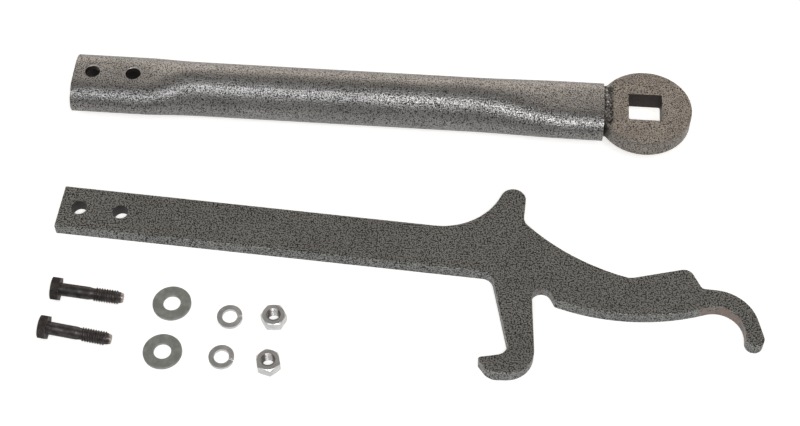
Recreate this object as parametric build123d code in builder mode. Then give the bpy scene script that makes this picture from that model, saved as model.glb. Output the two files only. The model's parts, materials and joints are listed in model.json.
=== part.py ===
from build123d import *
import os
from math import asin, atan2, cos, degrees, radians, sin, sqrt, tan

# Coil spring compressor, knocked down: hook lever, handle with a drive ring, and the fasteners
# that join them, all laid out on a bench. Z is up, the bench is z = 0, and X runs along the handle.
# Sizes are in millimetres and angles in degrees.

# Stock
lever_plate = 7.94  # 5/16 in plate
ring_plate = 11.1  # 7/16 in plate
tube_outside = 31.75  # 1-1/4 in round tube
tube_wall = 3.05
edge_break = 0.45  # rounding on cut plate edges

# Fasteners, 5/16-18
bolt_size = 7.94
thread_pitch = 25.4 / 18
bolt_length = 34.9
bolt_thread_length = 16.6
shank_reduction = 0.79
thread_depth = 0.795
bolt_taper = 2.6
bolt_tip_length = 2.2
tip_chamfer = 0.675
crest_flat = 0.12  # taken off the thread's crest
thread_overlap = 0.12
nut_thread_clearance = 0.1
hex_across_flats = 12.4
hex_chamfer_angle = 30
hex_chamfer_reach = 1.1  # the chamfer runs this much past the flats' inscribed circle
ridge_foot = 1.2  # thread ridge along the axis, at its root
ridge_crest = 0.2
bolt_head_height = 4.7
nut_height = 6.7
bolt_hole_clearance = 0.8
washer_clearance = 1.6
washer_outside = 21.3
washer_thickness = 1.7
washer_edge = 0.25
lock_clearance = 0.35
lock_width = 2.8
lock_thickness = 2.0
lock_spread = 1.0  # rise of the split washer over one turn
lock_gap_angle = 7

# Hook lever. Its own origin is where the finger's centre line crosses the bar's centre line.
bar_width = 27.4
bar_length = 254.3  # from the finger's centre line to the square end
bar_end_to_hole = 11.1
bolt_spacing = 23.8
finger_height = 37.0  # to the centre of its round tip
finger_tip_radius = 7.2
finger_blend_radius = 37.3
arm_radius = 126.8  # upper edge of the arm
arm_start_height = 22.7
arm_dip = (68.7, -7.45)
bump_peak = (100.95, 3.05)
bump_foot_run = 7.4  # from the peak down to the foot, along X
claw_centre = (117.2, -35.7)
claw_inside_radius = 15.4
claw_back_radius = 24.0
claw_tip_radius = 5.0
claw_tip_drop = 1.7
claw_side_length = 10.6
claw_side_angle = 72
throat_angle = 112.8  # where the throat runs into the arm's lower edge
notch_centre = (21.6, -25.5)
notch_radius = 5.6
notch_mouth = (28.9, -26.95)
notch_slope = 28.2
leg_slope = 7.8
leg_heel = (21.9, -74.4)
leg_sole = (-2.75, -77.0)
leg_toe = (-10.35, -67.85)
leg_inside = (7.1, -63.2)
leg_top_x = -7.25
arm_start_fillet = 7.0
arm_dip_fillet = 9.0
bump_peak_fillet = 5.5
bump_foot_fillet = 2.6
notch_mouth_fillet = 1.4
leg_heel_fillet = 15.0
leg_sole_fillet = 9.0
leg_toe_fillet = 1.5
leg_inside_fillet = 6.5
leg_top_fillet = 6.6

# Handle. Its own origin is the centre of the drive square, with the tube running to -X.
drive_square = 19.2  # takes a 3/4 in square drive
drive_square_corner = 0.9
ring_radius = 27.0
ring_lift = 0.8  # the ring's middle sits this much above the tube's
ring_seat_clearance = 0.4
ring_rim_radius = 1.0
tube_length = 309.7
pressed_thickness = 20.8
pressed_crown = 0.15  # the pressed faces stay a little convex
side_stretch = 1.245  # the pressed sides are half ellipses, this much wider than high
socket_clearance = 0.9  # each side, between the lever's bar and the pressed socket
socket_flat_length = 41.0
socket_blend_length = 32.0
ring_flat_length = 21.0
ring_blend_length = 56.0
blend_steps = 6
corner_angle = 30  # where the round section is divided into crown and side
handle_hole_to_end = 11.1
weld_leg = 6.0
weld_height = 4.0
weld_half_length = 12.4
weld_hollow = 0.36  # the bead's face passes this share of its leg and height

# Places on the bench
handle_place = (134.6, 76.7)
handle_roll = 2.5
lever_place = (58.9, -20.4)
lever_turn = -3.2
bolt_places = {"bolt_1": (-150.2, -62.2, -3.0), "bolt_2": (-152.5, -88.7, -5.7)}  # tip x, y, turn
washer_places = {"flat_washer_1": (-123.6, -61.9), "flat_washer_2": (-124.3, -92.5)}
lock_places = {"lock_washer_1": (-90.7, -68.6, 4), "lock_washer_2": (-92.0, -94.0, -14)}
nut_places = {"nut_1": (-66.4, -68.4, 4), "nut_2": (-66.2, -96.6, -16)}

# Sizes that follow
bolt_hole_radius = (bolt_size + bolt_hole_clearance) / 2
bolt_shank = bolt_size - shank_reduction
bolt_root = bolt_size - 2 * thread_depth
bolt_tip_radius = bolt_root / 2 - tip_chamfer
thread_crest = bolt_size / 2 - crest_flat
bore_half_thickness = pressed_thickness / 2 - tube_wall
pressed_side = side_stretch * pressed_thickness / 2
bore_side = pressed_side - tube_wall
bar_reach = bore_side * sqrt(1 - (lever_plate / 2 / bore_half_thickness) ** 2)
pressed_flat = 2 * (bar_width / 2 + socket_clearance - bar_reach)
ring_top = ring_lift + ring_plate / 2
ring_bottom = ring_lift - ring_plate / 2
seat_height = ring_top - ring_rim_radius
mouth_half_width = pressed_flat / 2 + bore_side * sqrt(1 - (seat_height / bore_half_thickness) ** 2)
ring_to_tube = sqrt(ring_radius**2 - mouth_half_width**2) + ring_seat_clearance

os.makedirs("parts", exist_ok=True)


def turned_plane(x, y, z, turn):
    """A level plane at a point, turned about Z."""
    return Plane(origin=(x, y, z), x_dir=(cos(radians(turn)), sin(radians(turn)), 0), z_dir=(0, 0, 1))


def polar(centre, radius, angle):
    """The point at a radius and an angle from a centre."""
    return (centre[0] + radius * cos(radians(angle)), centre[1] + radius * sin(radians(angle)))


def soften(sketch, corners):
    """Round the sketch's corner nearest to each point by that point's radius."""
    for point, radius in corners:
        fillet(sketch.vertices().sort_by_distance(point)[0], radius)


def save(piece, name):
    """Label one finished piece and write it."""
    piece.part.label = name
    export_step(piece.part, f"parts/{name}.step")


# Hook lever: one profile cut from plate, with the bolt holes near the bar's square end
lever_plane = turned_plane(*lever_place, 0, lever_turn)
bar_top = bar_width / 2
outer_hole_x = bar_end_to_hole - bar_length
blend_rise = bar_top + finger_blend_radius - finger_height
blend_reach = finger_blend_radius + finger_tip_radius
blend_x = -sqrt(blend_reach**2 - blend_rise**2)
blend_angle = degrees(asin(blend_rise / blend_reach))
tip_centre = (claw_centre[0] + claw_inside_radius + claw_tip_radius, claw_centre[1] - claw_tip_drop)
side_low = polar(tip_centre, claw_tip_radius, 90 - claw_side_angle)
side_high = polar(side_low, claw_side_length, 180 - claw_side_angle)
claw_back = (
    side_high[0] - claw_back_radius * sin(radians(claw_side_angle)),
    side_high[1] + claw_back_radius * (1 - cos(radians(claw_side_angle))),
)
leg_top = (leg_top_x, -bar_top)
bump_foot = (bump_peak[0] + bump_foot_run, claw_back[1])
notch_left = polar(notch_centre, notch_radius, 180 + leg_slope)
notch_right = polar(notch_centre, notch_radius, notch_slope)

with BuildPart() as hook_lever:
    with BuildSketch(lever_plane) as profile:
        with BuildLine():
            start = (-bar_length, bar_top)
            top = Line(start, (blend_x, bar_top))
            blend = JernArc(top @ 1, (1, 0), finger_blend_radius, 90 - blend_angle)
            tip = JernArc(blend @ 1, blend % 1, finger_tip_radius, blend_angle - 180)
            arm_start = (finger_tip_radius, arm_start_height)
            Line(tip @ 1, arm_start)
            RadiusArc(arm_start, arm_dip, -arm_radius)
            Polyline(arm_dip, bump_peak, bump_foot, claw_back)
            back = JernArc(claw_back, (1, 0), claw_back_radius, -claw_side_angle)
            side = Line(back @ 1, side_low)
            point = JernArc(side @ 1, side % 1, claw_tip_radius, claw_side_angle - 270)
            throat_start = (point @ 1) + Vector(0, claw_tip_drop)
            Line(point @ 1, throat_start)
            throat = JernArc(throat_start, (0, 1), claw_inside_radius, throat_angle)
            TangentArc(throat @ 1, notch_mouth, tangent=throat % 1)
            Line(notch_mouth, notch_right)
            ThreePointArc(notch_right, polar(notch_centre, notch_radius, 90), notch_left)
            Polyline(notch_left, leg_heel, leg_sole, leg_toe, leg_inside, leg_top)
            Polyline(leg_top, (-bar_length, -bar_top), start)
        make_face()
        soften(profile, [(arm_start, arm_start_fillet), (arm_dip, arm_dip_fillet)])
        soften(profile, [(bump_peak, bump_peak_fillet), (bump_foot, bump_foot_fillet)])
        soften(profile, [(notch_mouth, notch_mouth_fillet), (leg_heel, leg_heel_fillet)])
        soften(profile, [(leg_sole, leg_sole_fillet), (leg_toe, leg_toe_fillet)])
        soften(profile, [(leg_inside, leg_inside_fillet), (leg_top, leg_top_fillet)])
        with Locations((outer_hole_x, 0), (outer_hole_x + bolt_spacing, 0)):
            Circle(bolt_hole_radius, mode=Mode.SUBTRACT)
    extrude(amount=lever_plate)
    cut_edges = [face.outer_wire().edges() for face in hook_lever.faces().filter_by(Axis.Z)]
    fillet(ShapeList(cut_edges[0] + cut_edges[1]), edge_break)
save(hook_lever, "hook_lever")


# Handle: a round tube with both ends pressed to a flat-sided oval
handle_plane = Plane(
    origin=(*handle_place, tube_outside / 2),
    x_dir=(1, 0, 0),
    z_dir=(0, sin(radians(handle_roll)), cos(radians(handle_roll))),
)
tube_right = -ring_to_tube
tube_left = tube_right - tube_length
outer_bolt_x = tube_left + handle_hole_to_end
pressed_left = tube_left + socket_flat_length
pressed_right = tube_right - ring_flat_length
round_left = pressed_left + socket_blend_length
round_right = pressed_right - ring_blend_length


def tube_section(x, roundness, inset):
    """The tube's outline at x, from pressed (roundness 0) to round (1), moved in by inset."""
    radius = tube_outside / 2 - inset
    half_thickness = pressed_thickness / 2 - inset
    height = half_thickness + (radius - half_thickness) * roundness
    side = pressed_side - inset
    side = side + (radius - side) * roundness
    middle = pressed_flat / 2 * (1 - roundness)
    angle = corner_angle * roundness
    corner_x = middle + side * sin(radians(angle))
    corner_y = height * cos(radians(angle))
    corner_slope = atan2(height * sin(radians(angle)), side * cos(radians(angle)))
    crown = corner_y + corner_x * tan(corner_slope / 2) + pressed_crown * (1 - roundness)
    across = Plane(
        origin=handle_plane.from_local_coords((x, 0, 0)),
        x_dir=handle_plane.y_dir,
        z_dir=handle_plane.x_dir,
    )
    with BuildSketch(across) as section:
        with BuildLine():
            for turn in (0, 180):
                way = 1 if turn == 0 else -1
                corners = [(-way * corner_x, way * corner_y), (way * corner_x, way * corner_y)]
                ThreePointArc(corners[0], (0, way * crown), corners[1])
                start = turn + angle - 90
                EllipticalCenterArc((way * middle, 0), side, height, start, arc_size=180 - 2 * angle)
        make_face()
    return section.sketch


def press_blend(x_pressed, x_round, inset):
    """The sections of a stretch that eases from pressed to round."""
    steps = [step / blend_steps for step in range(blend_steps + 1)]
    return [tube_section(x_pressed + (x_round - x_pressed) * t, t * t * (3 - 2 * t), inset) for t in steps]


with BuildPart() as handle_tube:
    for inset, mode in ((0, Mode.ADD), (tube_wall, Mode.SUBTRACT)):
        extrude(tube_section(tube_left, 0, inset), amount=socket_flat_length, mode=mode)
        loft(press_blend(pressed_left, round_left, inset), mode=mode)
        extrude(tube_section(round_left, 1, inset), amount=round_right - round_left, mode=mode)
        loft(press_blend(pressed_right, round_right, inset), mode=mode)
        extrude(tube_section(pressed_right, 0, inset), amount=ring_flat_length, mode=mode)
    with BuildSketch(handle_plane):
        with Locations((outer_bolt_x, 0), (outer_bolt_x + bolt_spacing, 0)):
            Circle(bolt_hole_radius)
    extrude(amount=tube_outside, both=True, mode=Mode.SUBTRACT)
save(handle_tube, "handle_tube")

# Drive ring: a thick disc with a square hole, its edge seated in the tube's pressed mouth
with BuildPart() as drive_ring:
    with BuildSketch(handle_plane.offset(ring_bottom)):
        Circle(ring_radius)
        RectangleRounded(drive_square, drive_square, drive_square_corner, mode=Mode.SUBTRACT)
    extrude(amount=ring_plate)
    fillet(drive_ring.edges().filter_by(lambda edge: edge.length > 4 * drive_square), ring_rim_radius)
save(drive_ring, "drive_ring")

# Weld beads: one fillet above the ring and one below, against the tube's end
for name, up, face_height in (("weld_bead_top", 1, ring_top), ("weld_bead_bottom", -1, ring_bottom)):
    root = handle_plane.from_local_coords((tube_right, up * weld_half_length, face_height))
    bead_plane = Plane(origin=root, x_dir=handle_plane.x_dir, z_dir=handle_plane.y_dir * -up)
    with BuildPart() as weld_bead:
        with BuildSketch(bead_plane):
            with BuildLine():
                Polyline((0, weld_height), (0, 0), (weld_leg, 0))
                middle = (weld_leg * weld_hollow, weld_height * weld_hollow)
                ThreePointArc((weld_leg, 0), middle, (0, weld_height))
            make_face()
        extrude(amount=2 * weld_half_length)
    save(weld_bead, name)


# Fasteners
def side_view(plane):
    """The plane through the axis of a turned piece: X is its radius and Y its height."""
    return Plane(origin=plane.origin, x_dir=plane.x_dir, z_dir=plane.y_dir * -1)


def hexagon(plane):
    """The hexagon of a bolt head or nut, with flats across the plane's Y."""
    with BuildSketch(plane) as outline:
        RegularPolygon(hex_across_flats / 2, 6, major_radius=False)
    return outline.sketch


def hex_envelope(plane, height, chamfer_low):
    """Half of the turned shape that chamfers a hexagon's corners, in side view."""
    flat = hex_across_flats / 2
    corner = flat / cos(radians(30))
    slope = tan(radians(hex_chamfer_angle))
    drop = (corner - flat) * hex_chamfer_reach * slope
    inner = corner - drop / slope
    low = [(inner, 0), (corner, drop)] if chamfer_low else [(corner, 0)]
    high = [(corner, height - drop), (inner, height)]
    with BuildSketch(side_view(plane)) as outline:
        Polygon((0, 0), *low, *high, (0, height), align=None)
    return outline.sketch


def thread_path(plane, start, length, radius):
    """The helix that a thread follows, from start upwards."""
    centre = plane.from_local_coords((0, 0, start))
    return Helix(thread_pitch, length, radius, center=centre, direction=plane.z_dir)


def thread_ridge(plane, start, path, foot, crest):
    """A thread's ridge across its path, its foot and crest given by their radii."""
    centre = plane.from_local_coords((0, 0, start))
    outward = (path @ 0 - centre).normalized()
    with BuildSketch(Plane(origin=centre + outward * foot, x_dir=outward, z_dir=path % 0)) as ridge:
        low = [(0, -ridge_foot / 2), (crest - foot, -ridge_crest / 2)]
        Polygon(*low, (crest - foot, ridge_crest / 2), (0, ridge_foot / 2), align=None)
    return ridge.sketch


# Bolts lie on a flat of the head and on the thread's tip, so their axes slope a little
thread_end = bolt_length - bolt_tip_length
grip = bolt_length - bolt_thread_length
bolt_slope = asin((hex_across_flats - bolt_size) / 2 / thread_end)
for name, (tip_x, tip_y, turn) in bolt_places.items():
    ahead = Vector(cos(radians(turn)), sin(radians(turn)), 0)
    along = ahead * cos(bolt_slope) - Vector(0, 0, sin(bolt_slope))
    head_point = Vector(tip_x, tip_y, hex_across_flats / 2 * cos(bolt_slope)) - ahead * bolt_length
    level = Vector(ahead.Y, -ahead.X, 0)
    under_head = Plane(origin=head_point, x_dir=level, z_dir=along)
    head_seat = Plane(origin=head_point, x_dir=level, z_dir=along * -1)
    axis = Axis(head_point, along)
    with BuildPart() as bolt:
        extrude(hexagon(head_seat), amount=bolt_head_height)
        revolve(hex_envelope(head_seat, bolt_head_height, False), axis, mode=Mode.INTERSECT)
        with BuildSketch(side_view(under_head)):
            shank = [(0, 0), (bolt_shank / 2, 0), (bolt_shank / 2, grip - bolt_taper), (bolt_root / 2, grip)]
            tip = [(bolt_root / 2, thread_end), (bolt_tip_radius, bolt_length), (0, bolt_length)]
            Polygon(*shank, *tip, align=None)
        revolve(axis=axis)
        start = grip + ridge_foot / 2
        path = thread_path(under_head, start, thread_end - start - ridge_foot / 2, bolt_root / 2)
        ridge = thread_ridge(under_head, start, path, bolt_root / 2 - thread_overlap, thread_crest)
        sweep(ridge, path=path, is_frenet=True)
    save(bolt, name)

# Flat washers
for name, place in washer_places.items():
    with BuildPart() as flat_washer:
        with BuildSketch(turned_plane(*place, 0, 0)):
            Circle(washer_outside / 2)
            Circle((bolt_size + washer_clearance) / 2, mode=Mode.SUBTRACT)
        extrude(amount=washer_thickness)
        fillet(flat_washer.edges().filter_by(GeomType.CIRCLE), washer_edge)
    save(flat_washer, name)

# Lock washers: one turn of square wire, split at the gap
lock_bore = (bolt_size + lock_clearance) / 2
lock_turn = 1 - lock_gap_angle / 360
for name, (x, y, turn) in lock_places.items():
    lock_plane = turned_plane(x, y, lock_thickness / 2, turn - lock_gap_angle / 2)
    wire_radius = lock_bore + lock_width / 2
    with BuildPart() as lock_washer:
        path = Helix(lock_spread, lock_spread * lock_turn, wire_radius, lefthand=True)
        path = path.moved(lock_plane.location)
        with BuildSketch(Plane(origin=path @ 0, x_dir=lock_plane.x_dir, z_dir=path % 0)):
            Rectangle(lock_width, lock_thickness)
        sweep(path=path, is_frenet=True)
    save(lock_washer, name)

# Nuts
for name, (x, y, turn) in nut_places.items():
    nut_plane = turned_plane(x, y, 0, turn)
    bore_radius = bolt_root / 2 + nut_thread_clearance
    with BuildPart() as nut:
        extrude(hexagon(nut_plane), amount=nut_height)
        axis = Axis(nut_plane.origin, (0, 0, 1))
        revolve(hex_envelope(nut_plane, nut_height, True), axis, mode=Mode.INTERSECT)
        with BuildSketch(nut_plane):
            Circle(bore_radius)
        extrude(amount=nut_height, mode=Mode.SUBTRACT)
        path = thread_path(nut_plane, -thread_pitch / 2, nut_height + thread_pitch, bore_radius)
        ridge = thread_ridge(nut_plane, -thread_pitch / 2, path, bore_radius - thread_overlap,
                             thread_crest + nut_thread_clearance)
        sweep(ridge, path=path, is_frenet=True, mode=Mode.SUBTRACT)
    save(nut, name)
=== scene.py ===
import bpy
import json
import math
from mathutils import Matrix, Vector


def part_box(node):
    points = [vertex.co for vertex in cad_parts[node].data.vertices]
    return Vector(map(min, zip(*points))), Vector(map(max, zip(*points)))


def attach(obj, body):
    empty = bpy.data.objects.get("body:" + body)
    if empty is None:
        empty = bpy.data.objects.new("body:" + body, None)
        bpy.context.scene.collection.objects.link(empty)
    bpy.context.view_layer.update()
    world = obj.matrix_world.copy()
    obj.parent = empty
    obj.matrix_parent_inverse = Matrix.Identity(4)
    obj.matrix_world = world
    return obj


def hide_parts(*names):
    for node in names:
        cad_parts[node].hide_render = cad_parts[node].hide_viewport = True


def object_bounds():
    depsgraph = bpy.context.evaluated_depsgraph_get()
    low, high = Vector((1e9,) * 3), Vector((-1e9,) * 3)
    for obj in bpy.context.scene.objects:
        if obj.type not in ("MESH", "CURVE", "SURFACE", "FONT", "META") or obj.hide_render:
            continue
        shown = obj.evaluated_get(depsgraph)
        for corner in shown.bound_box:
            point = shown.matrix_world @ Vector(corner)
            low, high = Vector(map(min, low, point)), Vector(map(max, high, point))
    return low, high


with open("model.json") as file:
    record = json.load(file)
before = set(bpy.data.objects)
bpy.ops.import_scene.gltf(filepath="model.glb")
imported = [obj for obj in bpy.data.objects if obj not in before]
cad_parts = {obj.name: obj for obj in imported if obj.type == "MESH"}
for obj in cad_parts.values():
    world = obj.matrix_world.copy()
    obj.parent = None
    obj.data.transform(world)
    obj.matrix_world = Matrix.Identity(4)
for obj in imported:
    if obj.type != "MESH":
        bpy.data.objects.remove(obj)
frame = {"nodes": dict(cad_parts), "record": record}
nodes = frame["nodes"]
record = frame["record"]
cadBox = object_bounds()
boxMiddle = (cadBox[0] + cadBox[1]) / 2
mm = 0.001
print("frame loaded,", len(nodes), "CAD nodes")


# Node helpers
def addNode(tree, kind, values=None, **settings):
    node = tree.nodes.new(kind)
    for name, value in settings.items():
        setattr(node, name, value)
    for name, value in (values or {}).items():
        node.inputs[name].default_value = value
    return node


def addMath(tree, operation, first, second):
    node = tree.nodes.new("ShaderNodeMath")
    node.operation = operation
    for socket, value in zip(node.inputs, (first, second)):
        if isinstance(value, (int, float)):
            socket.default_value = value
        else:
            tree.links.new(value, socket)
    return node.outputs["Value"]


def addRange(tree, value, low, high):
    node = addNode(tree, "ShaderNodeMapRange", interpolation_type="SMOOTHSTEP")
    tree.links.new(value, node.inputs["Value"])
    for name, edge in (("From Min", low), ("From Max", high)):
        if isinstance(edge, (int, float)):
            node.inputs[name].default_value = edge
        else:
            tree.links.new(edge, node.inputs[name])
    return node.outputs["Result"]


def colorSocket(sockets, name):
    return next(socket for socket in sockets if socket.identifier == name)


def addMix(tree, factor, first, second):
    node = addNode(tree, "ShaderNodeMix", data_type="RGBA")
    for name, value in (("Factor_Float", factor), ("A_Color", first), ("B_Color", second)):
        socket = colorSocket(node.inputs, name)
        if isinstance(value, (int, float)):
            socket.default_value = value
        elif isinstance(value, tuple):
            socket.default_value = (*value, 1)
        else:
            tree.links.new(value, socket)
    return colorSocket(node.outputs, "Result_Color")


def addNoise(tree, place, scale, detail=0.0, roughness=0.5, distortion=0.0):
    node = addNode(tree, "ShaderNodeTexNoise", {
        "Detail": detail, "Roughness": roughness, "Distortion": distortion,
    })
    if isinstance(scale, (int, float)):
        node.inputs["Scale"].default_value = scale
    else:
        tree.links.new(scale, node.inputs["Scale"])
    tree.links.new(place, node.inputs["Vector"])
    return node.outputs["Fac"]


# Camera, floor and light
cameraSet = {"azimuth": 4.118, "elevation": 55.5, "distance": 0.9935, "lens": 78.4, "aim": (-0.0029, 0.0079)}
floorSet = {
    "size": 30.0, "color": (0.80, 0.795, 0.785), "seen": 0.62, "glow": 0.24, "rough": 0.9, "shine": 0.1,
}
studioSet = {
    "dim": (0.105, 0.101, 0.096), "backdrop": (1.22, 1.11, 1.00), "backdropTop": 43.0, "edge": 0.10,
    "seen": (0.94, 0.94, 0.94),
}
softboxSet = {
    "fill": {"tilt": 31.0, "side": -4.0, "distance": 1.5, "width": 1.5, "depth": 0.60, "power": 7.8,
             "color": (0.95, 0.97, 1.0)},
    "key": {"tilt": 30.0, "side": 15.0, "distance": 1.5, "width": 0.36, "depth": 0.36, "power": 3.0,
            "color": (1.0, 0.97, 0.94)},
}


def lookAt(thing, target):
    thing.rotation_euler = (target - thing.location).to_track_quat("-Z", "Y").to_euler()


def makeCamera():
    data = bpy.data.cameras.new("camera")
    data.lens = cameraSet["lens"]
    data.dof.use_dof = False
    camera = bpy.data.objects.new("camera", data)
    bpy.context.scene.collection.objects.link(camera)
    azimuth = math.radians(cameraSet["azimuth"])
    elevation = math.radians(cameraSet["elevation"])
    back = Vector((
        math.sin(azimuth) * math.cos(elevation),
        -math.cos(azimuth) * math.cos(elevation),
        math.sin(elevation),
    ))
    aim = Vector((*cameraSet["aim"], cadBox[0].z))
    camera.location = aim + back * cameraSet["distance"]
    lookAt(camera, aim)
    bpy.context.scene.camera = camera


def makeFloor():
    half = floorSet["size"] / 2
    mesh = bpy.data.meshes.new("floor")
    corners = [(-half, -half, 0), (half, -half, 0), (half, half, 0), (-half, half, 0)]
    mesh.from_pydata(corners, [], [(0, 1, 2, 3)])
    floor = bpy.data.objects.new("floor", mesh)
    bpy.context.scene.collection.objects.link(floor)
    material = bpy.data.materials.new("paleFloor")
    material.use_nodes = True
    shader = material.node_tree.nodes["Principled BSDF"]
    shader.inputs["Base Color"].default_value = (*floorSet["color"], 1)
    shader.inputs["Roughness"].default_value = floorSet["rough"]
    shader.inputs["Specular IOR Level"].default_value = floorSet["shine"]
    shader.inputs["Emission Color"].default_value = (*floorSet["color"], 1)
    path = material.node_tree.nodes.new("ShaderNodeLightPath")
    glow = addMath(material.node_tree, "MULTIPLY", path.outputs["Is Camera Ray"], floorSet["seen"])
    glow = addMath(material.node_tree, "ADD", glow, floorSet["glow"])
    material.node_tree.links.new(glow, shader.inputs["Emission Strength"])
    mesh.materials.append(material)


def makeSoftbox(name):
    values = softboxSet[name]
    data = bpy.data.lights.new(name, "AREA")
    data.shape = "RECTANGLE"
    data.size = values["width"]
    data.size_y = values["depth"]
    data.energy = values["power"]
    data.color = values["color"]
    softbox = bpy.data.objects.new(name, data)
    bpy.context.scene.collection.objects.link(softbox)
    tilt = math.radians(values["tilt"])
    side = math.radians(values["side"])
    up = Vector((math.sin(side), -math.sin(tilt) * math.cos(side), math.cos(tilt) * math.cos(side)))
    softbox.location = boxMiddle + up * values["distance"]
    lookAt(softbox, boxMiddle)


def makeStudio():
    world = bpy.data.worlds.new("studio")
    bpy.context.scene.world = world
    world.use_nodes = True
    tree = world.node_tree
    tree.nodes.clear()
    link = tree.links.new
    place = tree.nodes.new("ShaderNodeTexCoord")
    top = math.radians(studioSet["backdropTop"])
    across = addNode(tree, "ShaderNodeVectorMath", operation="DOT_PRODUCT")
    across.inputs[1].default_value = (0, math.sin(top), -math.cos(top))
    link(place.outputs["Generated"], across.inputs[0])
    behind = addRange(tree, across.outputs["Value"], -studioSet["edge"], studioSet["edge"])
    around = addMix(tree, behind, studioSet["dim"], studioSet["backdrop"])
    lit = tree.nodes.new("ShaderNodeBackground")
    link(around, lit.inputs["Color"])
    seen = tree.nodes.new("ShaderNodeBackground")
    seen.inputs["Color"].default_value = (*studioSet["seen"], 1)
    path = tree.nodes.new("ShaderNodeLightPath")
    choose = tree.nodes.new("ShaderNodeMixShader")
    link(path.outputs["Is Camera Ray"], choose.inputs["Fac"])
    link(lit.outputs["Background"], choose.inputs[1])
    link(seen.outputs["Background"], choose.inputs[2])
    output = tree.nodes.new("ShaderNodeOutputWorld")
    link(choose.outputs["Shader"], output.inputs["Surface"])


makeCamera()
makeFloor()
for lightName in softboxSet:
    makeSoftbox(lightName)
makeStudio()
bpy.context.scene.view_settings.view_transform = "Standard"
print("camera, floor and light made")


# Shader node groups
def newGroup(name, inputs, outputs):
    group = bpy.data.node_groups.new(name, "ShaderNodeTree")
    for socketName, kind, value in inputs:
        socket = group.interface.new_socket(socketName, in_out="INPUT", socket_type=kind)
        socket.default_value = value
    for socketName, kind in outputs:
        group.interface.new_socket(socketName, in_out="OUTPUT", socket_type=kind)
    return group, group.nodes.new("NodeGroupInput"), group.nodes.new("NodeGroupOutput")


cloudScale = 55.0  # slow drift of the coat from lighter to darker


# Silver islands parted by dark veins, as a hammered powder coat sets.
def makeVeinGroup():
    group, given, result = newGroup(
        "hammeredVeins",
        [("Island Scale", "NodeSocketFloat", 600.0), ("Vein Share", "NodeSocketFloat", 0.46),
         ("Vein Edge", "NodeSocketFloat", 0.05), ("Clouding", "NodeSocketFloat", 0.25)],
        [("Island", "NodeSocketFloat"), ("Height", "NodeSocketFloat"), ("Cloud", "NodeSocketFloat")],
    )
    place = group.nodes.new("ShaderNodeTexCoord").outputs["Object"]
    islandScale = given.outputs["Island Scale"]
    coarse = addNoise(group, place, islandScale, detail=1.0, roughness=0.35, distortion=0.35)
    low = addMath(group, "SUBTRACT", given.outputs["Vein Share"], given.outputs["Vein Edge"])
    high = addMath(group, "ADD", given.outputs["Vein Share"], given.outputs["Vein Edge"])
    island = addRange(group, coarse, low, high)
    group.links.new(island, result.inputs["Island"])
    height = addRange(group, coarse, 0.3, 0.7)
    group.links.new(height, result.inputs["Height"])
    cloud = addNoise(group, place, cloudScale, detail=2.0)
    cloud = addRange(group, cloud, 0.3, 0.7)
    cloud = addMath(group, "MULTIPLY", addMath(group, "SUBTRACT", cloud, 0.5), given.outputs["Clouding"])
    cloud = addMath(group, "ADD", cloud, 1.0)
    group.links.new(cloud, result.inputs["Cloud"])
    return group


rubReach = 0.6 * mm  # how far from an edge the rub starts


# Where an edge is rubbed: strongest on sharp edges, broken up by a fine noise.
def makeRubGroup():
    group, given, result = newGroup(
        "edgeRub",
        [("Breakup Scale", "NodeSocketFloat", 400.0), ("Start", "NodeSocketFloat", 0.05),
         ("Full", "NodeSocketFloat", 0.35)],
        [("Rub", "NodeSocketFloat")],
    )
    rounded = addNode(group, "ShaderNodeBevel", {"Radius": rubReach}, samples=4)
    facing = group.nodes.new("ShaderNodeNewGeometry")
    across = addNode(group, "ShaderNodeVectorMath", operation="DOT_PRODUCT")
    group.links.new(rounded.outputs["Normal"], across.inputs[0])
    group.links.new(facing.outputs["Normal"], across.inputs[1])
    bend = addMath(group, "SUBTRACT", 1.0, across.outputs["Value"])
    place = group.nodes.new("ShaderNodeTexCoord").outputs["Object"]
    patch = addNoise(group, place, given.outputs["Breakup Scale"], detail=2.0)
    bend = addMath(group, "MULTIPLY", bend, addMath(group, "MULTIPLY", patch, 2.0))
    rub = addRange(group, bend, given.outputs["Start"], given.outputs["Full"])
    group.links.new(rub, result.inputs["Rub"])
    return group


# A soft-edged spot round a point, broken up by noise.
def makeSpotGroup():
    group, given, result = newGroup(
        "spot",
        [("Point", "NodeSocketVector", (0, 0, 0)), ("Radius", "NodeSocketFloat", 0.005),
         ("Soft", "NodeSocketFloat", 0.002), ("Ragged", "NodeSocketFloat", 0.002),
         ("Breakup Scale", "NodeSocketFloat", 300.0)],
        [("Spot", "NodeSocketFloat")],
    )
    place = group.nodes.new("ShaderNodeTexCoord").outputs["Object"]
    apart = addNode(group, "ShaderNodeVectorMath", operation="DISTANCE")
    group.links.new(place, apart.inputs[0])
    group.links.new(given.outputs["Point"], apart.inputs[1])
    patch = addNoise(group, place, given.outputs["Breakup Scale"], detail=2.0)
    wander = addMath(group, "MULTIPLY", addMath(group, "SUBTRACT", patch, 0.5), given.outputs["Ragged"])
    far = addMath(group, "ADD", apart.outputs["Value"], wander)
    low = addMath(group, "SUBTRACT", given.outputs["Radius"], given.outputs["Soft"])
    inside = addMath(group, "SUBTRACT", 1.0, addRange(group, far, low, given.outputs["Radius"]))
    group.links.new(inside, result.inputs["Spot"])
    return group


boreEdge = {"full": 0.02 * mm, "gone": 0.12 * mm}  # past the bore wall, where its colour starts and ends


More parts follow.
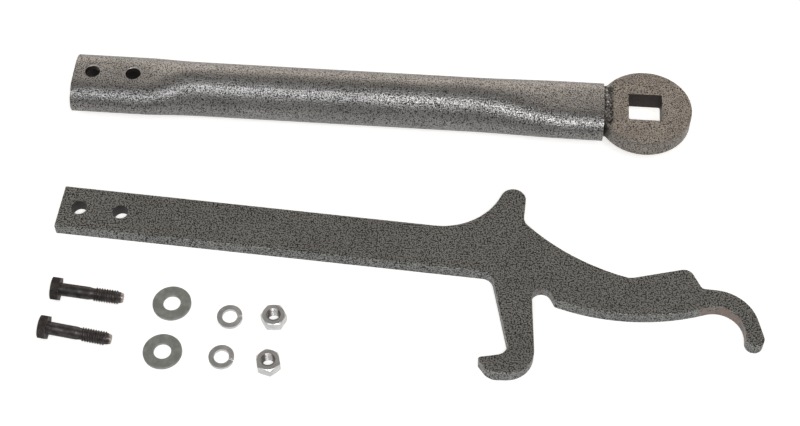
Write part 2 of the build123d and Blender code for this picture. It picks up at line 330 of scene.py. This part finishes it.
# Inside a round or square bore, given by its axis, half width and how square it is.
def makeBoreGroup():
    group, given, result = newGroup(
        "boreWall",
        [("Point", "NodeSocketVector", (0, 0, 0)), ("Axis", "NodeSocketVector", (0, 0, 1)),
         ("Half Width", "NodeSocketFloat", 0.004), ("Square", "NodeSocketFloat", 0.0)],
        [("Wall", "NodeSocketFloat")],
    )
    link = group.links.new
    place = group.nodes.new("ShaderNodeTexCoord").outputs["Object"]
    away = addNode(group, "ShaderNodeVectorMath", operation="SUBTRACT")
    link(place, away.inputs[0])
    link(given.outputs["Point"], away.inputs[1])
    along = addNode(group, "ShaderNodeVectorMath", operation="PROJECT")
    link(away.outputs["Vector"], along.inputs[0])
    link(given.outputs["Axis"], along.inputs[1])
    flat = addNode(group, "ShaderNodeVectorMath", operation="SUBTRACT")
    link(away.outputs["Vector"], flat.inputs[0])
    link(along.outputs["Vector"], flat.inputs[1])
    reach = addNode(group, "ShaderNodeVectorMath", operation="LENGTH")
    link(flat.outputs["Vector"], reach.inputs[0])
    sides = group.nodes.new("ShaderNodeSeparateXYZ")
    link(flat.outputs["Vector"], sides.inputs["Vector"])
    deep = addNode(group, "ShaderNodeCombineXYZ")
    link(sides.outputs["Y"], deep.inputs["X"])
    link(sides.outputs["Z"], deep.inputs["Y"])
    across = addNode(group, "ShaderNodeVectorMath", operation="LENGTH")
    link(deep.outputs["Vector"], across.inputs[0])
    sideways = addMath(group, "ABSOLUTE", sides.outputs["X"], 0.0)
    square = addMath(group, "MAXIMUM", sideways, across.outputs["Value"])
    blend = addNode(group, "ShaderNodeMix", data_type="FLOAT")
    link(given.outputs["Square"], blend.inputs["Factor"])
    link(reach.outputs["Value"], blend.inputs["A"])
    link(square, blend.inputs["B"])
    wide = addMath(group, "ADD", given.outputs["Half Width"], boreEdge["full"])
    limit = addMath(group, "ADD", given.outputs["Half Width"], boreEdge["gone"])
    wallShade = addMath(group, "SUBTRACT", 1.0, addRange(group, blend.outputs["Result"], wide, limit))
    link(wallShade, result.inputs["Wall"])
    return group


inwardEdge = (-0.35, -0.2)  # fully inward, and not inward at all


# Faces that look towards an axis along X, such as the inside of the tube.
def makeInwardGroup():
    group, given, result = newGroup(
        "inwardFace", [("Point", "NodeSocketVector", (0, 0, 0))], [("Inward", "NodeSocketFloat")],
    )
    link = group.links.new
    facing = group.nodes.new("ShaderNodeNewGeometry")
    place = group.nodes.new("ShaderNodeTexCoord").outputs["Object"]
    away = addNode(group, "ShaderNodeVectorMath", operation="SUBTRACT")
    link(place, away.inputs[0])
    link(given.outputs["Point"], away.inputs[1])
    flat = addNode(group, "ShaderNodeVectorMath", operation="MULTIPLY")
    link(away.outputs["Vector"], flat.inputs[0])
    flat.inputs[1].default_value = (0, 1, 1)
    ray = addNode(group, "ShaderNodeVectorMath", operation="NORMALIZE")
    link(flat.outputs["Vector"], ray.inputs[0])
    across = addNode(group, "ShaderNodeVectorMath", operation="DOT_PRODUCT")
    link(ray.outputs["Vector"], across.inputs[0])
    link(facing.outputs["True Normal"], across.inputs[1])
    inward = addMath(group, "SUBTRACT", 1.0, addRange(group, across.outputs["Value"], *inwardEdge))
    link(inward, result.inputs["Inward"])
    return group


veinGroup = makeVeinGroup()
boreGroup = makeBoreGroup()
inwardGroup = makeInwardGroup()
rubGroup = makeRubGroup()
spotGroup = makeSpotGroup()


def groupNode(tree, group, values):
    node = tree.nodes.new("ShaderNodeGroup")
    node.node_tree = group
    for name, value in values.items():
        node.inputs[name].default_value = value
    return node


def newMaterial(name):
    material = bpy.data.materials.new(name)
    material.use_nodes = True
    tree = material.node_tree
    return material, tree, tree.nodes["Principled BSDF"]


# Hammered coat, for the lever and the handle
coatSet = {
    "leverCoat": {"scale": 1250.0, "share": 0.487, "edge": 0.025, "silver": (0.40, 0.405, 0.39),
                  "vein": (0.010, 0.010, 0.010), "clouding": 0.12, "bump": 0.10, "shine": 0.17},
    "handleCoat": {"scale": 1550.0, "share": 0.452, "edge": 0.025, "silver": (0.46, 0.45, 0.44),
                   "vein": (0.016, 0.015, 0.014), "clouding": 0.16, "bump": 0.10, "shine": 0.21},
    "ringCoat": {"scale": 1600.0, "share": 0.455, "edge": 0.04, "silver": (0.47, 0.43, 0.385),
                 "vein": (0.022, 0.015, 0.012), "clouding": 0.16, "bump": 0.20, "shine": 0.17},
}
coatFinish = {"metal": 0.85, "rough": 0.50, "clear": 0.25, "clearRough": 0.18}  # the same for every coat
wallShadeSet = {"color": (0.045, 0.037, 0.034), "rough": 0.5, "driveHalf": 9.6 * mm}  # dark steel inside holes, darkened to near black as painted shade
# Paint worn through inside the claw and the notch: a middle and a reach for each
wornSet = {
    "color": (0.34, 0.25, 0.21), "soft": 1.5 * mm, "ragged": 6.0 * mm,
    "spots": [((0.1739, -0.0626, 0.004), 0.0164), ((0.0790, -0.0471, 0.004), 0.0064)],
}


def mountAt(name):
    return next(mount for mount in record["mounts"] if mount["name"] == name)


def boreOf(name):
    mount = mountAt(name)
    return {"Point": mount["pos_m"], "Axis": mount["axis"], "Half Width": mount["dims"]["r_mm"] * mm}


def hammeredCoat(name, wornSpots=(), bores=(), hollowAt=None):
    values = coatSet[name]
    material, tree, shader = newMaterial(name)
    link = tree.links.new
    veins = groupNode(tree, veinGroup, {
        "Island Scale": values["scale"], "Vein Share": values["share"],
        "Vein Edge": values["edge"], "Clouding": values["clouding"],
    })
    island = veins.outputs["Island"]
    color = addMix(tree, island, values["vein"], values["silver"])
    shade = addNode(tree, "ShaderNodeVectorMath", operation="SCALE")
    link(color, shade.inputs[0])
    link(veins.outputs["Cloud"], shade.inputs["Scale"])
    color = shade.outputs["Vector"]
    metal = addMath(tree, "MULTIPLY", island, coatFinish["metal"])
    polish = addMath(tree, "MULTIPLY", island, values["shine"])
    rough = addMath(tree, "SUBTRACT", coatFinish["rough"], polish)
    for point, radius in wornSpots:
        worn = groupNode(tree, spotGroup, {
            "Point": point, "Radius": radius, "Soft": wornSet["soft"], "Ragged": wornSet["ragged"],
        })
        color = addMix(tree, worn.outputs["Spot"], color, wornSet["color"])
    shadedWalls = [groupNode(tree, boreGroup, bore).outputs["Wall"] for bore in bores]
    if hollowAt:
        shadedWalls.append(groupNode(tree, inwardGroup, {"Point": hollowAt}).outputs["Inward"])
    # Painted shade: bore walls, the drive square and the tube's inside are mixed to near black, with less
    # metal and more roughness
    for wallShade in shadedWalls:
        color = addMix(tree, wallShade, color, wallShadeSet["color"])
        metal = addMath(tree, "MULTIPLY", metal, addMath(tree, "SUBTRACT", 1.0, wallShade))
        rough = addMath(tree, "MAXIMUM", rough, addMath(tree, "MULTIPLY", wallShade, wallShadeSet["rough"]))
    link(color, shader.inputs["Base Color"])
    link(metal, shader.inputs["Metallic"])
    link(rough, shader.inputs["Roughness"])
    shader.inputs["Coat Weight"].default_value = coatFinish["clear"]
    shader.inputs["Coat Roughness"].default_value = coatFinish["clearRough"]
    bump = addNode(tree, "ShaderNodeBump", {"Strength": 1.0, "Distance": values["bump"] * mm})
    link(veins.outputs["Height"], bump.inputs["Height"])
    link(bump.outputs["Normal"], shader.inputs["Normal"])
    return material


# Black oxide, for the bolts
oxideSet = {
    "deep": (0.050, 0.045, 0.045), "pale": (0.125, 0.110, 0.108), "rubbed": (0.30, 0.27, 0.25),
    "bare": (0.52, 0.46, 0.43), "stainScale": 300.0, "rough": 0.5, "polish": 0.14, "metal": 0.55,
    "rubMetal": 0.8, "grain": 2200.0, "bump": 0.03 * mm,
}
bareTip = {"Radius": 3.1 * mm, "Soft": 0.6 * mm, "Ragged": 1.2 * mm, "Breakup Scale": 900.0}


def blackOxide(name, tip):
    material, tree, shader = newMaterial(name)
    link = tree.links.new
    place = tree.nodes.new("ShaderNodeTexCoord").outputs["Object"]
    stain = addRange(tree, addNoise(tree, place, oxideSet["stainScale"], detail=3.0), 0.35, 0.7)
    color = addMix(tree, stain, oxideSet["deep"], oxideSet["pale"])
    rub = groupNode(tree, rubGroup, {"Start": 0.10, "Full": 0.5}).outputs["Rub"]
    color = addMix(tree, rub, color, oxideSet["rubbed"])
    bare = groupNode(tree, spotGroup, {"Point": tip, **bareTip}).outputs["Spot"]
    color = addMix(tree, bare, color, oxideSet["bare"])
    link(color, shader.inputs["Base Color"])
    rubMetal = addMath(tree, "MULTIPLY", rub, oxideSet["rubMetal"])
    bareMetal = addMath(tree, "MAXIMUM", bare, oxideSet["metal"])
    link(addMath(tree, "MAXIMUM", rubMetal, bareMetal), shader.inputs["Metallic"])
    polish = addMath(tree, "MULTIPLY", stain, oxideSet["polish"])
    link(addMath(tree, "SUBTRACT", oxideSet["rough"], polish), shader.inputs["Roughness"])
    bump = addNode(tree, "ShaderNodeBump", {"Strength": 0.4, "Distance": oxideSet["bump"]})
    link(addNoise(tree, place, oxideSet["grain"], detail=2.0), bump.inputs["Height"])
    link(bump.outputs["Normal"], shader.inputs["Normal"])
    return material


# Zinc plate, for the washers and nuts
zincSet = {
    "greyZinc": {"deep": (0.37, 0.39, 0.37), "pale": (0.50, 0.52, 0.495), "rough": 0.46, "grain": 900.0,
                 "rub": (0.62, 0.63, 0.61), "metal": 0.75},
    "brightZinc": {"deep": (0.80, 0.81, 0.81), "pale": (0.97, 0.98, 0.98), "rough": 0.34, "grain": 1300.0,
                   "rub": (0.88, 0.89, 0.89), "metal": 0.9},
}
zincFinish = {"stainScale": 260.0, "thread": (0.36, 0.35, 0.34), "threadReach": 3.9 * mm, "bump": 0.03 * mm}


def zincPlate(name, bore=None):
    values = zincSet[name]
    material, tree, shader = newMaterial(name)
    link = tree.links.new
    place = tree.nodes.new("ShaderNodeTexCoord").outputs["Object"]
    stain = addRange(tree, addNoise(tree, place, zincFinish["stainScale"], detail=4.0), 0.35, 0.68)
    color = addMix(tree, stain, values["deep"], values["pale"])
    rub = groupNode(tree, rubGroup, {"Start": 0.05, "Full": 0.4}).outputs["Rub"]
    color = addMix(tree, rub, color, values["rub"])
    # Painted shade: the thread inside the nut's bore is mixed to a darker grey
    if bore:
        wallShade = groupNode(tree, boreGroup, bore).outputs["Wall"]
        color = addMix(tree, wallShade, color, zincFinish["thread"])
    link(color, shader.inputs["Base Color"])
    shader.inputs["Metallic"].default_value = values["metal"]
    grain = addNoise(tree, place, values["grain"], detail=2.0)
    rough = addMath(tree, "ADD", values["rough"] - 0.08, addMath(tree, "MULTIPLY", grain, 0.16))
    link(rough, shader.inputs["Roughness"])
    bump = addNode(tree, "ShaderNodeBump", {"Strength": 0.35, "Distance": zincFinish["bump"]})
    link(grain, bump.inputs["Height"])
    link(bump.outputs["Normal"], shader.inputs["Normal"])
    return material


def coverNode(node, material):
    piece = nodes[node]
    if not piece.material_slots:
        piece.data.materials.append(material)
    for materialSlot in piece.material_slots:
        materialSlot.material = material


leverBores = [boreOf("lever_bolt_hole_outer"), boreOf("lever_bolt_hole_inner")]
tubeBores = [boreOf("tube_bolt_hole_outer"), boreOf("tube_bolt_hole_inner")]
drive = mountAt("drive_square")
driveBore = {
    "Point": drive["pos_m"], "Axis": drive["axis"], "Half Width": wallShadeSet["driveHalf"], "Square": 1.0,
}
coverNode("hook_lever", hammeredCoat("leverCoat", wornSet["spots"], leverBores))
coverNode("handle_tube", hammeredCoat("handleCoat", bores=tubeBores, hollowAt=drive["pos_m"]))
coverNode("drive_ring", hammeredCoat("ringCoat", bores=[driveBore]))


# The middle of the bolt's threaded end face
def boltTip(node):
    points = [vertex.co for vertex in nodes[node].data.vertices]
    reach = max(point.x for point in points)
    near = [point for point in points if point.x > reach - 0.0006]
    return sum(near, Vector()) / len(near)


for nodeName in ("bolt_1", "bolt_2"):
    coverNode(nodeName, blackOxide("blackOxide_" + nodeName[-1], boltTip(nodeName)))
for nodeName in ("flat_washer_1", "flat_washer_2"):
    coverNode(nodeName, zincPlate("greyZinc"))
for nodeName in ("lock_washer_1", "lock_washer_2"):
    coverNode(nodeName, zincPlate("brightZinc"))
for nodeName in ("nut_1", "nut_2"):
    low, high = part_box(nodeName)
    middle = (Vector(low) + Vector(high)) / 2
    thread = {"Point": middle, "Axis": (0, 0, 1), "Half Width": zincFinish["threadReach"]}
    coverNode(nodeName, zincPlate("brightZinc", thread))
print("materials made")

# Weld beads: ripples set along a line, melted together and roughened
weldSet = {
    "ripples": 13, "size": (3.3 * mm, 1.3 * mm, 2.3 * mm), "corner": (2.1 * mm, 1.2 * mm),
    "spread": 0.94, "voxel": 0.22 * mm, "lumps": 0.9 * mm, "lumpScale": 520.0,
    "deep": (0.030, 0.025, 0.023), "pale": (0.42, 0.39, 0.36), "patchScale": 750.0, "metal": 0.8,
    "rough": 0.55, "polish": 0.22, "clear": 0.3, "clearRough": 0.2, "grain": 1500.0, "bump": 0.2 * mm,
}


def makeWeldTree():
    tree = bpy.data.node_groups.new("weldRipples", "GeometryNodeTree")
    for name, kind in (
        ("Start", "NodeSocketVector"), ("Step", "NodeSocketVector"), ("Ripple Size", "NodeSocketVector"),
        ("Ripples", "NodeSocketInt"), ("Voxel", "NodeSocketFloat"), ("Lumps", "NodeSocketFloat"),
        ("Lump Scale", "NodeSocketFloat"), ("Seed", "NodeSocketInt"), ("Finish", "NodeSocketMaterial"),
    ):
        tree.interface.new_socket(name, in_out="INPUT", socket_type=kind)
    tree.interface.new_socket("Geometry", in_out="OUTPUT", socket_type="NodeSocketGeometry")
    given = tree.nodes.new("NodeGroupInput")
    result = tree.nodes.new("NodeGroupOutput")
    link = tree.links.new
    line = addNode(tree, "GeometryNodeMeshLine", mode="OFFSET")
    link(given.outputs["Ripples"], line.inputs["Count"])
    link(given.outputs["Start"], line.inputs["Start Location"])
    link(given.outputs["Step"], line.inputs["Offset"])
    ball = addNode(tree, "GeometryNodeMeshIcoSphere", {"Radius": 1.0, "Subdivisions": 3})
    vary = addNode(tree, "FunctionNodeRandomValue", data_type="FLOAT_VECTOR")
    vary.inputs[0].default_value = (0.82, 0.85, 0.80)
    vary.inputs[1].default_value = (1.15, 1.15, 1.12)
    link(given.outputs["Seed"], vary.inputs["Seed"])
    size = addNode(tree, "ShaderNodeVectorMath", operation="MULTIPLY")
    link(given.outputs["Ripple Size"], size.inputs[0])
    link(vary.outputs[0], size.inputs[1])
    ripples = tree.nodes.new("GeometryNodeInstanceOnPoints")
    link(line.outputs["Mesh"], ripples.inputs["Points"])
    link(ball.outputs["Mesh"], ripples.inputs["Instance"])
    link(size.outputs["Vector"], ripples.inputs["Scale"])
    realized = tree.nodes.new("GeometryNodeRealizeInstances")
    link(ripples.outputs["Instances"], realized.inputs["Geometry"])
    melt = addNode(tree, "GeometryNodeMeshToVolume", resolution_mode="VOXEL_SIZE")
    melt.inputs["Interior Band Width"].default_value = 0.0008
    link(realized.outputs["Geometry"], melt.inputs["Mesh"])
    link(given.outputs["Voxel"], melt.inputs["Voxel Size"])
    skin = addNode(tree, "GeometryNodeVolumeToMesh", resolution_mode="VOXEL_SIZE")
    link(melt.outputs["Volume"], skin.inputs["Volume"])
    link(given.outputs["Voxel"], skin.inputs["Voxel Size"])
    place = tree.nodes.new("GeometryNodeInputPosition").outputs["Position"]
    rough = addNoise(tree, place, given.outputs["Lump Scale"], detail=2.0)
    swell = addMath(tree, "MULTIPLY", addMath(tree, "SUBTRACT", rough, 0.55), given.outputs["Lumps"])
    push = addNode(tree, "ShaderNodeVectorMath", operation="SCALE")
    link(tree.nodes.new("GeometryNodeInputNormal").outputs["Normal"], push.inputs[0])
    link(swell, push.inputs["Scale"])
    moved = tree.nodes.new("GeometryNodeSetPosition")
    link(skin.outputs["Mesh"], moved.inputs["Geometry"])
    link(push.outputs["Vector"], moved.inputs["Offset"])
    smooth = tree.nodes.new("GeometryNodeSetShadeSmooth")
    link(moved.outputs["Geometry"], smooth.inputs["Geometry"])
    whole = tree.nodes.new("GeometryNodeRealizeInstances")
    link(smooth.outputs["Geometry"], whole.inputs["Geometry"])
    finish = tree.nodes.new("GeometryNodeSetMaterial")
    link(whole.outputs["Geometry"], finish.inputs["Geometry"])
    link(given.outputs["Finish"], finish.inputs["Material"])
    link(finish.outputs["Geometry"], result.inputs["Geometry"])
    return tree


def weldFinish():
    material, tree, shader = newMaterial("weldCoat")
    link = tree.links.new
    place = tree.nodes.new("ShaderNodeTexCoord").outputs["Object"]
    patch = addRange(tree, addNoise(tree, place, weldSet["patchScale"], detail=3.0), 0.42, 0.66)
    link(addMix(tree, patch, weldSet["deep"], weldSet["pale"]), shader.inputs["Base Color"])
    link(addMath(tree, "MULTIPLY", patch, weldSet["metal"]), shader.inputs["Metallic"])
    polish = addMath(tree, "MULTIPLY", patch, weldSet["polish"])
    link(addMath(tree, "SUBTRACT", weldSet["rough"], polish), shader.inputs["Roughness"])
    shader.inputs["Coat Weight"].default_value = weldSet["clear"]
    shader.inputs["Coat Roughness"].default_value = weldSet["clearRough"]
    bump = addNode(tree, "ShaderNodeBump", {"Strength": 0.8, "Distance": weldSet["bump"]})
    link(addNoise(tree, place, weldSet["grain"], detail=2.0), bump.inputs["Height"])
    link(bump.outputs["Normal"], shader.inputs["Normal"])
    return material


def bakeTree(name, tree, values):
    piece = bpy.data.objects.new(name, bpy.data.meshes.new(name))
    bpy.context.scene.collection.objects.link(piece)
    modifier = piece.modifiers.new("build", "NODES")
    modifier.node_group = tree
    for item in tree.interface.items_tree:
        if item.item_type == "SOCKET" and item.in_out == "INPUT":
            modifier[item.identifier] = values[item.name]
    bpy.context.view_layer.update()
    baked = bpy.data.meshes.new_from_object(piece.evaluated_get(bpy.context.evaluated_depsgraph_get()))
    piece.modifiers.remove(modifier)
    piece.data = baked
    return piece


# The bead's inside corner at its near and far end
def beadEnds(node, up):
    points = [vertex.co for vertex in nodes[node].data.vertices]
    ends = []
    for side in (-1, 1):
        reach = max(point.y * side for point in points)
        near = [point for point in points if point.y * side > reach - 0.0004]
        ends.append(min(near, key=lambda point: point.x + point.z * up))
    return ends


def makeWeld(node, up, seed):
    near, far = beadEnds(node, up)
    shift = Vector((weldSet["corner"][0], 0, weldSet["corner"][1] * up))
    step = (far - near) / (weldSet["ripples"] - 1) * weldSet["spread"]
    start = (near + far) / 2 - step * (weldSet["ripples"] - 1) / 2 + shift
    bead = bakeTree(node + "_bead", weldTree, {
        "Start": start, "Step": step, "Ripple Size": weldSet["size"], "Ripples": weldSet["ripples"],
        "Voxel": weldSet["voxel"], "Lumps": weldSet["lumps"], "Lump Scale": weldSet["lumpScale"],
        "Seed": seed, "Finish": weldMaterial,
    })
    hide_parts(node)
    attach(bead, "handle")


weldTree = makeWeldTree()
weldMaterial = weldFinish()
makeWeld("weld_bead_top", 1, 4)
makeWeld("weld_bead_bottom", -1, 9)
print("weld beads made")

# Burrs: the bare lip left along the far rim of each hole in the tube
burrSet = {
    "thick": 0.40 * mm, "steps": 30, "sides": 8, "from": 10.0, "to": 172.0, "inset": 0.4,
    "color": (0.66, 0.63, 0.60), "metal": 0.9, "rough": 0.34,
    "lifts": {"tube_bolt_hole_outer": 1.70 * mm, "tube_bolt_hole_inner": 1.60 * mm},
}


def burrFinish():
    material, tree, shader = newMaterial("bareSteel")
    shader.inputs["Base Color"].default_value = (*burrSet["color"], 1)
    shader.inputs["Metallic"].default_value = burrSet["metal"]
    shader.inputs["Roughness"].default_value = burrSet["rough"]
    return material


def makeBurr(number, mount, lift, material):
    up = Vector(mount["axis"])
    ahead = Vector((1, 0, 0))
    across = up.cross(ahead)
    radius = mount["dims"]["r_mm"] * mm + burrSet["thick"] * burrSet["inset"]
    centre = Vector(mount["pos_m"]) + up * lift
    points = []
    for step in range(burrSet["steps"] + 1):
        share = step / burrSet["steps"]
        angle = math.radians(burrSet["from"] + (burrSet["to"] - burrSet["from"]) * share)
        outward = ahead * math.cos(angle) + across * math.sin(angle)
        thick = burrSet["thick"] * max(0.08, math.sin(math.pi * share)) ** 0.6
        for side in range(burrSet["sides"]):
            turn = math.tau * side / burrSet["sides"]
            points.append(centre + outward * (radius + thick * math.cos(turn)) + up * thick * math.sin(turn))
    count = burrSet["sides"]
    faces = []
    for step in range(burrSet["steps"]):
        for side in range(count):
            after = (side + 1) % count
            low = step * count
            faces.append((low + side, low + after, low + count + after, low + count + side))
    faces.append(tuple(reversed(range(count))))
    faces.append(tuple(range(len(points) - count, len(points))))
    mesh = bpy.data.meshes.new("hole_burr_" + str(number))
    mesh.from_pydata(points, [], faces)
    mesh.polygons.foreach_set("use_smooth", [True] * len(mesh.polygons))
    mesh.materials.append(material)
    burr = bpy.data.objects.new("hole_burr_" + str(number), mesh)
    bpy.context.scene.collection.objects.link(burr)
    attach(burr, "handle")


bareSteel = burrFinish()
for number, (mountName, lift) in enumerate(burrSet["lifts"].items(), start=1):
    makeBurr(number, mountAt(mountName), lift, bareSteel)
print("burrs made")
